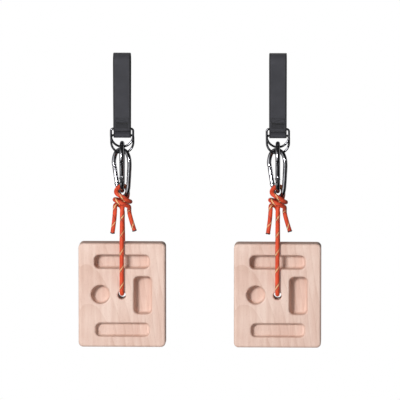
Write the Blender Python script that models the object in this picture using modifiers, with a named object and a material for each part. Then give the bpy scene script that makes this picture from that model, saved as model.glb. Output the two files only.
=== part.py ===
"""Portable hangboard: two beech hold blocks, each hung on its own cord, two snap
carabiners, two D-rings and a webbing strap that loops over a round bar.

Frame: metres, +Z up, the viewer on the -Y side. The origin is on the axis of the bar,
midway between the two straps.
"""
import math

import bmesh
import bpy
from mathutils import Matrix, Vector

# Running gap between pieces that touch, and the reach within which points are welded
GAP = 0.0003
WELD = 0.00001

# The pair
UNIT_SPACING = 0.268

# Webbing strap
BAR_BORE_RADIUS = 0.0153
STRAP_WIDTH = 0.030
STRAP_THICKNESS = 0.0024
STRAP_TAIL = 0.013
FOLD_CLOSING_ANGLE = math.radians(40)
STITCH_BOX_WIDTH = 0.022
STITCH_BOX_HEIGHT = 0.011
STITCH_ABOVE_RING = 0.0085
THREAD_RADIUS = 0.0004

# D-rings
RING_WIRE = 0.0038
RING_WIDTH = 0.042
RING_HEIGHT = 0.0348
RING_CORNER = 0.004
FRONT_RING_DROP = 0.1131
RING_PLANE_SPACING = 0.0075

# Snap carabiners
CARABINER_BAR = 0.0076
CARABINER_HEIGHT = 0.090
CARABINER_WIDTH = 0.0505
CARABINER_STEP = 0.0120
REAR_CARABINER_SHIFT = -0.0010
FRONT_CARABINER_YAW = math.radians(90)
REAR_CARABINER_YAW = math.radians(-49)
GATE_TILT = math.radians(14)
GATE_OPENING = 0.037
NOSE_DROP = 0.030
NOSE_REACH = 0.0205
GATE_NOSE_GAP = 0.0006
GATE_HEEL_GAP = 0.0004
GATE_PIVOT_HEIGHT = 0.006
GATE_TOP_BREAK = 0.0005
GATE_HEEL_SHRINK = 0.002
NOSE_AND_HEEL_RUN = 0.006
ROOT_OVERLAP = 0.002
TONGUE_THICKNESS = 0.003
TONGUE_WIDTH = 0.0046
TONGUE_LENGTH = 0.005
TANG_WIDTH = 0.004
TANG_ABOVE_PIVOT = 0.004
SLOT_SIDE_GAP = 0.0003
NOSE_SLOT_DEPTH = 0.0056
HEEL_SLOT_ABOVE_PIVOT = 0.0053
NOTCH_PLAY = 0.0004
RIVET_DIAMETER = 0.002
RIVET_HEAD_DIAMETER = 0.0038
RIVET_HEAD_HEIGHT = 0.0007
LATCH_PIN_DIAMETER = 0.0016
LATCH_PIN_LENGTH = 0.0068
LATCH_PIN_FROM_TOP = 0.0026
SPRING_WIRE = 0.0007
SPRING_DIAMETER = 0.0038
SPRING_LENGTH = 0.010
SPRING_TURNS = 5
SPRING_SEAT_ABOVE_TANG = 0.0005

# Hanging cord
CORD_DIAMETER = 0.0075
# Stretches nearer than this along the cord, in diameters, are neighbours
NEIGHBOUR_RUN = 2.2

# Hold block
BOARD_WIDTH = 0.150
BOARD_HEIGHT = 0.180
BOARD_THICKNESS = 0.040
BOARD_TOP_DROP = 0.310
BOARD_CORNER = 0.008
BOARD_ROUNDOVER = 0.004
HOLE_DIAMETER = 0.0138
HOLE_MOUTH = 0.003
POCKET_LIP = 0.003
POCKET_FILLET = 0.005
POCKET_CORNER = 0.0085
# name: centre x and z from the board's centre, width, height, depth
POCKETS = {
    "four_finger": (0.0, 0.058, 0.095, 0.0235, 0.022),
    "shallow": (0.001, -0.060, 0.0925, 0.023, 0.014),
    "upright": (0.036, 0.0, 0.031, 0.065, 0.024),
}
MONO_POCKET = (-0.037, 0.001, 0.032, 0.020)

WIRE_RADIUS = RING_WIRE / 2
BAR_RADIUS = CARABINER_BAR / 2
RING_DROP = RING_HEIGHT - RING_WIRE
CARABINER_DROP = CARABINER_HEIGHT - CARABINER_BAR
HANG_LIFT = WIRE_RADIUS + GAP + BAR_RADIUS
RING_PLANE_Y = RING_PLANE_SPACING / 2
REAR_RING_DROP = FRONT_RING_DROP + CARABINER_STEP
FRONT_CARABINER_TOP = -FRONT_RING_DROP - RING_DROP + HANG_LIFT
REAR_CARABINER_TOP = FRONT_CARABINER_TOP - CARABINER_STEP
GATE_TOP = GATE_OPENING - GATE_HEEL_GAP - GATE_PIVOT_HEIGHT - GATE_NOSE_GAP
LATCH_PIN_HEIGHT = GATE_TOP - LATCH_PIN_FROM_TOP
SPRING_SEAT = TANG_ABOVE_PIVOT + SPRING_SEAT_ABOVE_TANG
BOARD_CENTRE_Z = -BOARD_TOP_DROP - BOARD_HEIGHT / 2


def clear_scene():
    for obj in list(bpy.data.objects):
        bpy.data.objects.remove(obj, do_unlink=True)


def make_collection(name):
    collection = bpy.data.collections.new(name)
    bpy.context.scene.collection.children.link(collection)
    return collection


def make_material(name, colour, roughness, metallic=0.0):
    material = bpy.data.materials.new(name)
    material.use_nodes = True
    shader = material.node_tree.nodes["Principled BSDF"]
    shader.inputs["Base Color"].default_value = (*colour, 1.0)
    shader.inputs["Roughness"].default_value = roughness
    shader.inputs["Metallic"].default_value = metallic
    return material


clear_scene()
PARTS = make_collection("portable_hangboard")
CUTTERS = make_collection("cutters")
WEBBING = make_material("black_webbing", (0.035, 0.035, 0.04), 0.85)
THREAD = make_material("black_thread", (0.05, 0.05, 0.055), 0.7)
DARK_CHROME = make_material("dark_chrome", (0.28, 0.28, 0.30), 0.22, 1.0)
POLISHED_STEEL = make_material("polished_steel", (0.62, 0.62, 0.64), 0.16, 1.0)
SPRING_STEEL = make_material("spring_steel", (0.45, 0.45, 0.47), 0.3, 1.0)
RED_CORD = make_material("orange_red_cord", (0.80, 0.11, 0.05), 0.75)
BEECH = make_material("beech", (0.76, 0.55, 0.42), 0.6)


# Placing and joining

def add_object(name, data, collection=None):
    obj = bpy.data.objects.new(name, data)
    (collection or PARTS).objects.link(obj)
    return obj


def add_empty(name, parent, location, rotation=(0.0, 0.0, 0.0)):
    empty = add_object(name, None)
    empty.empty_display_size = 0.01
    empty.parent = parent
    empty.location = location
    empty.rotation_euler = rotation
    return empty


def dress(obj, material, parent, location=(0.0, 0.0, 0.0), rotation=(0.0, 0.0, 0.0)):
    obj.data.materials.append(material)
    obj.parent = parent
    obj.location = location
    obj.rotation_euler = rotation
    return obj


def use_modifier(obj, cutter, operation):
    cutter.hide_render = True
    cutter.display_type = "WIRE"
    modifier = obj.modifiers.new(cutter.name, "BOOLEAN")
    modifier.operation = operation
    modifier.solver = "EXACT"
    modifier.object = cutter


def shade_round(mesh, sharp_from=35):
    mesh.shade_smooth()
    mesh.set_sharp_from_angle(angle=math.radians(sharp_from))


def mesh_from(shape, name):
    mesh = bpy.data.meshes.new(name)
    shape.to_mesh(mesh)
    shape.free()
    return mesh


# Basic shapes

def box(name, low, high):
    shape = bmesh.new()
    bmesh.ops.create_cube(shape, size=1.0)
    size = Vector(high) - Vector(low)
    bmesh.ops.scale(shape, vec=size, verts=shape.verts)
    bmesh.ops.translate(shape, vec=Vector(low) + size / 2, verts=shape.verts)
    return add_object(name, mesh_from(shape, name), CUTTERS)


def cross_rod(name, radius, length, height, sides, collection=None):
    """A round rod along Y, at a height on the Z axis."""
    shape = bmesh.new()
    lay = Matrix.Translation((0, 0, height)) @ Matrix.Rotation(math.radians(90), 4, "X")
    bmesh.ops.create_cone(shape, cap_ends=True, segments=sides, radius1=radius,
                          radius2=radius, depth=length, matrix=lay)
    mesh = mesh_from(shape, name)
    shade_round(mesh)
    return add_object(name, mesh, collection)


def turned(name, profile, steps, collection=None):
    """A profile of (radius, height), top to bottom, turned about Z."""
    shape = bmesh.new()
    verts = [shape.verts.new((radius, 0.0, height)) for radius, height in profile]
    for first, second in zip(verts, verts[1:]):
        shape.edges.new((first, second))
    obj = add_object(name, mesh_from(shape, name), collection)
    screw = obj.modifiers.new("turn", "SCREW")
    screw.steps = steps
    screw.render_steps = steps
    screw.use_merge_vertices = True
    screw.merge_threshold = WELD
    return obj


def tube(name, points, radius, resolution=2, cyclic=False):
    curve = bpy.data.curves.new(name, "CURVE")
    curve.dimensions = "3D"
    curve.twist_mode = "MINIMUM"
    curve.bevel_depth = radius
    curve.bevel_resolution = resolution
    curve.use_fill_caps = not cyclic
    spline = curve.splines.new("POLY")
    spline.points.add(len(points) - 1)
    for target, point in zip(spline.points, points):
        target.co = (*point, 1.0)
    spline.use_cyclic_u = cyclic
    spline.use_smooth = True
    return add_object(name, curve)


def as_mesh(obj):
    """Turn a curve object at the origin into a mesh object with welded caps."""
    bpy.context.view_layer.update()
    depsgraph = bpy.context.evaluated_depsgraph_get()
    mesh = bpy.data.meshes.new_from_object(obj.evaluated_get(depsgraph))
    shape = bmesh.new()
    shape.from_mesh(mesh)
    bmesh.ops.remove_doubles(shape, verts=shape.verts, dist=WELD)
    bmesh.ops.recalc_face_normals(shape, faces=shape.faces)
    shape.to_mesh(mesh)
    shape.free()
    shade_round(mesh)
    name = obj.name
    bpy.data.objects.remove(obj, do_unlink=True)
    return add_object(name, mesh)


def through(keys, steps):
    """Points of a smooth centripetal curve through the keys, with even steps between them."""
    keys = [Vector(key) for key in keys]
    ends = [keys[0] * 2 - keys[1]] + keys + [keys[-1] * 2 - keys[-2]]
    points = []
    for a, b, c, d in zip(ends, ends[1:], ends[2:], ends[3:]):
        before, here, after = ((end - start).length ** 0.5
                               for start, end in ((a, b), (b, c), (c, d)))
        leave = (c - b) + here * ((b - a) / before - (c - a) / (before + here))
        arrive = (c - b) + here * ((d - c) / after - (d - b) / (here + after))
        for step in range(steps):
            t = step / steps
            points.append(b * (2 * t ** 3 - 3 * t ** 2 + 1) + leave * (t ** 3 - 2 * t ** 2 + t)
                          + c * (3 * t ** 2 - 2 * t ** 3) + arrive * (t ** 3 - t ** 2))
    points.append(keys[-1])
    return points


def thinned(points, turn, reach):
    """Keep a point where the line has turned or run far enough since the last one."""
    kept = [points[0]]
    turned_by = 0.0
    for before, here, after in zip(points, points[1:], points[2:]):
        turned_by += (here - before).angle(after - here, 0.0)
        if turned_by >= turn or (here - kept[-1]).length >= reach:
            kept.append(here)
            turned_by = 0.0
    kept.append(points[-1])
    return kept


# Webbing strap

def leg_normal(foot, foot_radius, side):
    """Direction from the foot's centre to where the strap's leg leaves its fold."""
    reach = -Vector(foot)
    distance = reach.length
    along = reach / distance
    across = Vector((-along.y, along.x)) * -side
    across = across if across.x * side > 0 else -across
    slope = -(strap_wrap_radius() - foot_radius) / distance
    return along * slope + across * math.sqrt(1 - slope ** 2)


def strap_wrap_radius():
    return BAR_BORE_RADIUS + STRAP_THICKNESS / 2


def fold_radius():
    return WIRE_RADIUS + GAP + STRAP_THICKNESS / 2


def strap_leg(foot, side):
    """Centre line in (y, z) from the leg's tail, round its ring and up to the bar."""
    normal = leg_normal(foot, fold_radius(), side)
    up = Vector((-normal.y, normal.x))
    up = up if up.y > 0 else -up
    start = math.atan2(normal.y, normal.x)
    turn = math.pi + FOLD_CLOSING_ANGLE
    steps = 11
    fold = []
    for step in range(steps + 1):
        angle = start - side * turn * step / steps
        fold.append(Vector(foot) + fold_radius() * Vector((math.cos(angle), math.sin(angle))))
    tail_line = Vector(foot) + normal * (fold_radius() - STRAP_THICKNESS - GAP)
    heading = (fold[-1] - fold[-2]).normalized()
    lift = meeting_height(fold[-1], heading, tail_line, up)
    tail = [tail_line + up * (lift + STRAP_TAIL), tail_line + up * lift]
    bar_end = normal * strap_wrap_radius()
    return tail + fold[::-1], bar_end


def meeting_height(start, heading, line, up):
    """How far up its line the strap's tail comes to lie on the leg."""
    offset = start - line
    cross = heading.x * up.y - heading.y * up.x
    return (offset.x * heading.y - offset.y * heading.x) / -cross


def strap_path():
    front, front_end = strap_leg((-RING_PLANE_Y, -FRONT_RING_DROP), -1)
    rear, rear_end = strap_leg((RING_PLANE_Y, -REAR_RING_DROP), 1)
    begin = math.atan2(front_end.y, front_end.x) % math.tau
    finish = math.atan2(rear_end.y, rear_end.x)
    steps = 18
    arc = []
    for step in range(steps + 1):
        angle = begin + (finish - begin) * step / steps
        arc.append(strap_wrap_radius() * Vector((math.cos(angle), math.sin(angle))))
    return front + arc + rear[::-1]


def make_strap(prefix, unit):
    shape = bmesh.new()
    half = STRAP_WIDTH / 2
    rows = [[shape.verts.new((x, y, z)) for x in (-half, half)] for y, z in strap_path()]
    for low, high in zip(rows, rows[1:]):
        shape.faces.new((low[0], low[1], high[1], high[0]))
    name = prefix + "strap"
    strap = add_object(name, mesh_from(shape, name))
    wall = strap.modifiers.new("webbing", "SOLIDIFY")
    wall.thickness = STRAP_THICKNESS
    wall.offset = 0.0
    wall.use_even_offset = True
    return dress(strap, WEBBING, unit)


def make_stitching(name, foot, side, unit):
    """Box stitch that holds the folded tail, as it lies on the leg's outer face."""
    normal = leg_normal(foot, fold_radius(), side)
    up = Vector((-normal.y, normal.x))
    up = up if up.y > 0 else -up
    lift = fold_radius() + STRAP_THICKNESS / 2 + THREAD_RADIUS + GAP
    half = STITCH_BOX_WIDTH / 2
    low = Vector(foot) + normal * lift + up * STITCH_ABOVE_RING
    high = low + up * STITCH_BOX_HEIGHT
    corners = [(-half, *low), (half, *low), (half, *high), (-half, *high)]
    thread = tube(name, corners, THREAD_RADIUS, resolution=0, cyclic=True)
    return dress(thread, THREAD, unit)


# D-rings

def ring_path():
    """Centre line of a D-ring, its hinge axis along X through the straight side."""
    reach = RING_WIDTH / 2 - WIRE_RADIUS
    straight = reach - RING_CORNER
    bowl_height = reach - RING_DROP
    points = []
    for angle in range(90, -1, -30):
        turn = math.radians(angle)
        points.append((straight + RING_CORNER * math.cos(turn), 0,
                       RING_CORNER * math.sin(turn) - RING_CORNER))
    for angle in range(0, -181, -12):
        turn = math.radians(angle)
        points.append((reach * math.cos(turn), 0, bowl_height + reach * math.sin(turn)))
    for angle in range(180, 89, -30):
        turn = math.radians(angle)
        points.append((-straight + RING_CORNER * math.cos(turn), 0,
                       RING_CORNER * math.sin(turn) - RING_CORNER))
    return points


def make_ring(name, parent):
    ring = tube(name, ring_path(), WIRE_RADIUS, cyclic=True)
    return dress(ring, DARK_CHROME, parent)


# Snap carabiners, in their own plane: X towards the spine, origin at the top of the bow

def gate_direction():
    return Vector((math.sin(GATE_TILT), 0, -math.cos(GATE_TILT)))


def nose_point():
    return Vector((-NOSE_REACH, 0, -NOSE_DROP))


def heel_point():
    return nose_point() + gate_direction() * GATE_OPENING


def gate_pivot():
    return heel_point() - gate_direction() * (GATE_HEEL_GAP + GATE_PIVOT_HEIGHT)


def carabiner_path():
    """Centre line of the body from the heel, down round the basket, to the nose."""
    spine = CARABINER_WIDTH / 2 - BAR_RADIUS
    drop = CARABINER_DROP
    heel = heel_point()
    nose = nose_point()
    reach = gate_direction()
    keys = [
        heel,
        heel + reach * NOSE_AND_HEEL_RUN,
        (0.54 * heel.x, 0, -0.958 * drop),
        (0.0, 0, -drop),
        (0.32 * spine, 0, -0.982 * drop),
        (0.62 * spine, 0, -0.922 * drop),
        (0.81 * spine, 0, -0.815 * drop),
        (0.89 * spine, 0, -0.667 * drop),
        (0.96 * spine, 0, -0.460 * drop),
        (spine, 0, -0.300 * drop),
        (0.93 * spine, 0, -0.164 * drop),
        (0.69 * spine, 0, -0.063 * drop),
        (0.35 * spine, 0, -0.015 * drop),
        (0.0, 0, 0.0),
        (-0.36 * spine, 0, -0.016 * drop),
        (-0.71 * spine, 0, -0.070 * drop),
        (-0.94 * spine, 0, -0.170 * drop),
        nose - reach * NOSE_AND_HEEL_RUN,
        nose,
    ]
    return through(keys, 2)


def gate_frame():
    """From the gate's own frame, Z up along the gate from its pivot, to the carabiner's."""
    return Matrix.Translation(gate_pivot()) @ Matrix.Rotation(-GATE_TILT, 4, "Y")


def make_body(name, parent, location, yaw):
    body = as_mesh(tube(name, carabiner_path(), BAR_RADIUS, resolution=3))
    half = TONGUE_THICKNESS / 2
    top = GATE_TOP + GATE_NOSE_GAP
    tang_root = -GATE_PIVOT_HEIGHT - GATE_HEEL_GAP - ROOT_OVERLAP
    notch = LATCH_PIN_DIAMETER / 2 + NOTCH_PLAY
    pieces = [
        (box(name + "_tongue", (-TONGUE_WIDTH / 2, -half, top - TONGUE_LENGTH),
             (TONGUE_WIDTH / 2, half, top + ROOT_OVERLAP)), "UNION"),
        (box(name + "_tang", (-TANG_WIDTH / 2, -half, tang_root),
             (TANG_WIDTH / 2, half, TANG_ABOVE_PIVOT)), "UNION"),
        (box(name + "_notch",
             (-LATCH_PIN_DIAMETER / 2 - GAP, -TONGUE_THICKNESS, LATCH_PIN_HEIGHT - notch),
             (TONGUE_WIDTH, TONGUE_THICKNESS, LATCH_PIN_HEIGHT + notch)), "DIFFERENCE"),
        (cross_rod(name + "_rivet_hole", RIVET_DIAMETER / 2 + GAP, CARABINER_BAR, 0.0, 12,
                   CUTTERS), "DIFFERENCE"),
    ]
    dress(body, POLISHED_STEEL, parent, location, (0, 0, yaw))
    for cutter, operation in pieces:
        cutter.parent = body
        cutter.matrix_local = gate_frame()
        use_modifier(body, cutter, operation)


def make_gate(name, parent):
    """Hollow gate, slotted for the tang and the nose, its origin at the rivet."""
    radius = BAR_RADIUS
    heel = -GATE_PIVOT_HEIGHT
    shrink = GATE_HEEL_SHRINK
    profile = [(0, GATE_TOP), (radius - GATE_TOP_BREAK, GATE_TOP),
               (radius, GATE_TOP - GATE_TOP_BREAK), (radius, heel + 1.15 * shrink),
               (radius - 0.4 * shrink, heel + 0.5 * shrink),
               (radius - shrink, heel + 0.1 * shrink), (0, heel)]
    gate = turned(name, profile, 14)
    half_slot = TONGUE_THICKNESS / 2 + SLOT_SIDE_GAP
    wide = CARABINER_BAR
    bore_top = SPRING_SEAT + SPRING_LENGTH + 3 * GAP
    bore_radius = SPRING_DIAMETER / 2 + GAP
    holes = [
        box(name + "_nose_slot", (-wide, -half_slot, GATE_TOP - NOSE_SLOT_DEPTH),
            (wide, half_slot, GATE_TOP + wide)),
        box(name + "_heel_slot", (-wide, -half_slot, heel - wide),
            (wide, half_slot, HEEL_SLOT_ABOVE_PIVOT)),
        turned(name + "_bore", [(0, bore_top), (bore_radius, bore_top),
                                (bore_radius, SPRING_SEAT), (0, SPRING_SEAT)], 12, CUTTERS),
        cross_rod(name + "_rivet_hole", RIVET_DIAMETER / 2 + GAP, 2 * wide, 0.0, 12, CUTTERS),
        cross_rod(name + "_latch_hole", LATCH_PIN_DIAMETER / 2 + GAP, 2 * wide,
                  LATCH_PIN_HEIGHT, 10, CUTTERS),
    ]
    for hole in holes:
        hole.parent = gate
        use_modifier(gate, hole, "DIFFERENCE")
    return dress(gate, POLISHED_STEEL, parent)


def make_rivet(name, parent):
    shank = RIVET_DIAMETER / 2
    head = RIVET_HEAD_DIAMETER / 2
    seat = BAR_RADIUS + GAP
    top = seat + RIVET_HEAD_HEIGHT
    half = [(0, top), (0.7 * head, top), (head, top - 0.6 * RIVET_HEAD_HEIGHT), (head, seat),
            (shank, seat)]
    profile = half + [(radius, -height) for radius, height in reversed(half)]
    rivet = turned(name, profile, 10)
    return dress(rivet, POLISHED_STEEL, parent, rotation=(math.radians(90), 0, 0))


def make_latch_pin(name, parent):
    pin = cross_rod(name, LATCH_PIN_DIAMETER / 2, LATCH_PIN_LENGTH, LATCH_PIN_HEIGHT, 10)
    return dress(pin, POLISHED_STEEL, parent)


def make_spring(name, parent):
    """Coil between the tang's top and the blind end of the gate's bore."""
    radius = SPRING_DIAMETER / 2 - SPRING_WIRE / 2
    bottom = SPRING_SEAT + GAP + SPRING_WIRE / 2
    per_turn = 8
    count = SPRING_TURNS * per_turn
    rise = (SPRING_LENGTH - SPRING_WIRE - GAP) / count
    points = [(radius * math.cos(math.tau * step / per_turn),
               radius * math.sin(math.tau * step / per_turn), bottom + rise * step)
              for step in range(count + 1)]
    spring = tube(name, points, SPRING_WIRE / 2, resolution=1)
    print(name, "least gap between turns, mm:",
          round((rise * per_turn - SPRING_WIRE) * 1000, 2))
    return dress(spring, SPRING_STEEL, parent)


def make_carabiner(prefix, parent, hang_z, yaw):
    make_body(prefix + "carabiner_body", parent, (0, 0, hang_z), yaw)
    pivot = Matrix.Translation((0, 0, hang_z)) @ Matrix.Rotation(yaw, 4, "Z") @ gate_frame()
    empty = add_empty(prefix + "gate_axis", parent, pivot.to_translation(), pivot.to_euler())
    make_gate(prefix + "carabiner_gate", empty)
    make_rivet(prefix + "gate_rivet", empty)
    make_latch_pin(prefix + "latch_pin", empty)
    make_spring(prefix + "gate_spring", empty)


# Hanging cord

# Route of the cord in its unit, from the left tail's end to the right tail's end
CORD_ROUTE = [
    (-0.0167, -0.0060, -0.2940),
    (-0.0133, -0.0075, -0.2680),
    (-0.0122, -0.0080, -0.2530),
    (-0.0120, -0.0045, -0.2462),
    (-0.0090, 0.0025, -0.2452),
    (-0.0032, 0.0056, -0.2480),
    (0.0000, 0.0056, -0.2560),
    (0.0000, 0.0105, -0.2720),
    (0.0000, 0.0188, -0.2910),
    (0.0000, 0.0241, -0.3080),
    (0.0000, 0.0245, -0.3170),
    (0.0000, 0.0242, -0.3550),
    (0.0000, 0.0242, -0.3850),
    (0.0000, 0.0242, -0.3905),
    (0.0000, 0.0232, -0.3941),
    (0.0000, 0.0206, -0.3967),
    (0.0000, 0.0170, -0.3977),
    (0.0000, 0.0110, -0.3977),
    (0.0000, -0.0110, -0.3977),
    (0.0000, -0.0170, -0.3977),
    (0.0000, -0.0206, -0.3967),
    (0.0000, -0.0232, -0.3941),
    (0.0000, -0.0242, -0.3905),
    (0.0000, -0.0242, -0.3850),
    (0.0000, -0.0242, -0.3550),
    (0.0000, -0.0245, -0.3170),
    (0.0000, -0.0241, -0.3080),
    (0.0000, -0.0188, -0.2910),
    (0.0000, -0.0105, -0.2720),
    (0.0000, -0.0046, -0.2560),
    (0.0008, -0.0025, -0.2480),
    (0.0025, 0.0020, -0.2420),
    (0.0067, 0.0054, -0.2360),
    (0.0090, 0.0055, -0.2290),
    (0.0089, 0.0032, -0.2212),
    (0.0065, 0.0005, -0.2143),
    (0.0000, -0.0020, -0.2121),
    (-0.0062, -0.0038, -0.2146),
    (-0.0102, -0.0070, -0.2205),
    (-0.0085, -0.0120, -0.2250),
    (-0.0010, -0.0142, -0.2292),
    (0.0070, -0.0125, -0.2345),
    (0.0122, -0.0055, -0.2383),
    (0.0137, 0.0035, -0.2402),
    (0.0104, 0.0119, -0.2412),
    (0.0015, 0.0145, -0.2405),
    (-0.0075, 0.0110, -0.2378),
    (-0.0122, 0.0040, -0.2362),
    (-0.0125, -0.0050, -0.2362),
    (-0.0080, -0.0118, -0.2382),
    (-0.0005, -0.0140, -0.2414),
    (0.0066, -0.0122, -0.2445),
    (0.0115, -0.0060, -0.2476),
    (0.0119, 0.0010, -0.2518),
    (0.0118, 0.0040, -0.2580),
    (0.0148, 0.0044, -0.2710),
    (0.0210, 0.0040, -0.2910),
]


def least_self_gap(points):
    """Smallest clear distance between stretches that aren't neighbours along the cord."""
    run = [0.0]
    for before, after in zip(points, points[1:]):
        run.append(run[-1] + (after - before).length)
    least = 1.0
    for i, first in enumerate(points):
        for j in range(i + 1, len(points)):
            if run[j] - run[i] > NEIGHBOUR_RUN * CORD_DIAMETER:
                least = min(least, (points[j] - first).length)
    return least - CORD_DIAMETER


def make_cord(name, parent, hang_point):
    fine = through(CORD_ROUTE, 12)
    points = thinned(fine, math.radians(22), 0.014)
    length = sum((b - a).length for a, b in zip(fine, fine[1:]))
    print(name, "points", len(points), "length m", round(length, 4),
          "least gap to itself, mm", round(least_self_gap(fine) * 1000, 2))
    local = [point - Vector(hang_point) for point in points]
    cord = tube(name, local, CORD_DIAMETER / 2)
    return dress(cord, RED_CORD, parent)


# Hold block

def rounded_rectangle(width, height, corner, outset, per_corner=4):
    """Outline in (x, z), grown by outset on every side."""
    radius = corner + outset
    across = width / 2 - corner
    up = height / 2 - corner
    points = []
    for centre_x, centre_z, start in ((across, up, 0), (-across, up, 90),
                                      (-across, -up, 180), (across, -up, 270)):
        for step in range(per_corner):
            angle = math.radians(start + 90 * step / (per_corner - 1))
            points.append((centre_x + radius * math.cos(angle),
                           centre_z + radius * math.sin(angle)))
    return points


def circle(radius, count=16):
    return [(radius * math.cos(math.tau * step / count),
             radius * math.sin(math.tau * step / count)) for step in range(count)]


def loft(name, rings, centre_x, centre_z):
    """Closed solid through rings of (depth along Y, outline in x and z)."""
    shape = bmesh.new()
    rows = [[shape.verts.new((centre_x + x, depth, centre_z + z)) for x, z in outline]
            for depth, outline in rings]
    for near, far in zip(rows, rows[1:]):
        for a, b, c, d in zip(near, near[1:] + near[:1], far[1:] + far[:1], far):
            shape.faces.new((a, b, c, d))
    shape.faces.new(rows[0])
    shape.faces.new(rows[-1])
    bmesh.ops.recalc_face_normals(shape, faces=shape.faces)
    mesh = mesh_from(shape, name)
    shade_round(mesh)
    return add_object(name, mesh, CUTTERS)


def lip_profile(lip):
    """(depth, outset) of a mouth that rolls over into a face, and of the clear way out."""
    profile = [(-2 * lip, lip)]
    for angle in (0, 35, 65, 90):
        turn = math.radians(angle)
        profile.append((lip * (1 - math.cos(turn)), lip * (1 - math.sin(turn))))
    return profile


def pocket_profile(depth):
    profile = lip_profile(POCKET_LIP)
    for angle in (0, 50, 90):
        turn = math.radians(angle)
        profile.append((depth - POCKET_FILLET * (1 - math.sin(turn)),
                        -POCKET_FILLET * (1 - math.cos(turn))))
    return profile


def pocket_cutter(name, centre_x, centre_z, width, height, depth):
    face = -BOARD_THICKNESS / 2
    rings = [(face + down, rounded_rectangle(width, height, POCKET_CORNER, outset))
             for down, outset in pocket_profile(depth)]
    return loft(name, rings, centre_x, centre_z)


def mono_cutter(name):
    centre_x, centre_z, diameter, depth = MONO_POCKET
    face = -BOARD_THICKNESS / 2
    rings = [(face + down, circle(diameter / 2 + outset, 20))
             for down, outset in pocket_profile(depth)]
    return loft(name, rings, centre_x, centre_z)


def cord_hole_cutter(name):
    half = BOARD_THICKNESS / 2
    front = [(-half + down, circle(HOLE_DIAMETER / 2 + outset))
             for down, outset in lip_profile(HOLE_MOUTH)]
    rear = [(-depth, outline) for depth, outline in reversed(front)]
    return loft(name, front + rear, 0.0, 0.0)


def make_board(name, parent):
    shape = bmesh.new()
    bmesh.ops.create_cube(shape, size=1.0)
    bmesh.ops.scale(shape, vec=(BOARD_WIDTH, BOARD_THICKNESS, BOARD_HEIGHT),
                    verts=shape.verts)
    corners = [edge for edge in shape.edges
               if abs(edge.verts[0].co.y - edge.verts[1].co.y) > BOARD_THICKNESS / 2]
    bmesh.ops.bevel(shape, geom=corners, offset=BOARD_CORNER, offset_type="OFFSET",
                    segments=4, profile=0.5, affect="EDGES")
    mesh = mesh_from(shape, name)
    shade_round(mesh)
    board = add_object(name, mesh)
    rim = board.modifiers.new("roundover", "BEVEL")
    rim.width = BOARD_ROUNDOVER
    rim.segments = 3
    rim.limit_method = "ANGLE"
    rim.angle_limit = math.radians(40)
    rim.harden_normals = True
    cutters = [pocket_cutter(f"{name}_{pocket}_pocket", *sizes)
               for pocket, sizes in POCKETS.items()]
    cutters.append(mono_cutter(name + "_mono_pocket"))
    cutters.append(cord_hole_cutter(name + "_cord_hole"))
    for cutter in cutters:
        cutter.parent = board
        use_modifier(board, cutter, "DIFFERENCE")
    return dress(board, BEECH, parent)


# The pair

def make_unit(prefix, x):
    unit = add_empty(prefix + "unit", None, (x, 0, 0))
    front_foot = (-RING_PLANE_Y, -FRONT_RING_DROP)
    rear_foot = (RING_PLANE_Y, -REAR_RING_DROP)
    make_strap(prefix, unit)
    make_stitching(prefix + "front_stitching", front_foot, -1, unit)
    make_stitching(prefix + "rear_stitching", rear_foot, 1, unit)

    front_ring = add_empty(prefix + "front_ring_axis", unit, (0, *front_foot))
    make_ring(prefix + "front_d_ring", front_ring)
    rear_ring = add_empty(prefix + "rear_ring_axis", unit, (0, *rear_foot))
    make_ring(prefix + "rear_d_ring", rear_ring)

    front_clip = add_empty(prefix + "front_carabiner_axis", front_ring, (0, 0, -RING_DROP))
    make_carabiner(prefix + "front_", front_clip, HANG_LIFT, FRONT_CARABINER_YAW)
    rear_clip = add_empty(prefix + "rear_carabiner_axis", front_clip,
                          (REAR_CARABINER_SHIFT, RING_PLANE_SPACING, -CARABINER_STEP))
    make_carabiner(prefix + "rear_", rear_clip, HANG_LIFT, REAR_CARABINER_YAW)

    hang_point = Vector((0, -RING_PLANE_Y, FRONT_CARABINER_TOP - CARABINER_DROP))
    clip_point = Vector((0, -RING_PLANE_Y, -FRONT_RING_DROP - RING_DROP))
    cord_axis = add_empty(prefix + "cord_axis", front_clip, hang_point - clip_point)
    make_cord(prefix + "hang_cord", cord_axis, hang_point)
    hole = Vector((0, 0, BOARD_CENTRE_Z))
    board_axis = add_empty(prefix + "board_axis", cord_axis, hole - hang_point)
    make_board(prefix + "board", board_axis)


for side, prefix in ((-1, "left_"), (1, "right_")):
    make_unit(prefix, side * UNIT_SPACING / 2)
bpy.context.view_layer.update()
print("axis, place in m, direction of its Y")
for empty in PARTS.objects:
    if empty.type == "EMPTY":
        print(empty.name, [round(value, 6) for value in empty.matrix_world.translation],
              [round(value, 4) for value in empty.matrix_world.col[1][:3]])
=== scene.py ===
import math

import bmesh
import bpy
import numpy as np
from mathutils import Matrix, Vector


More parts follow.
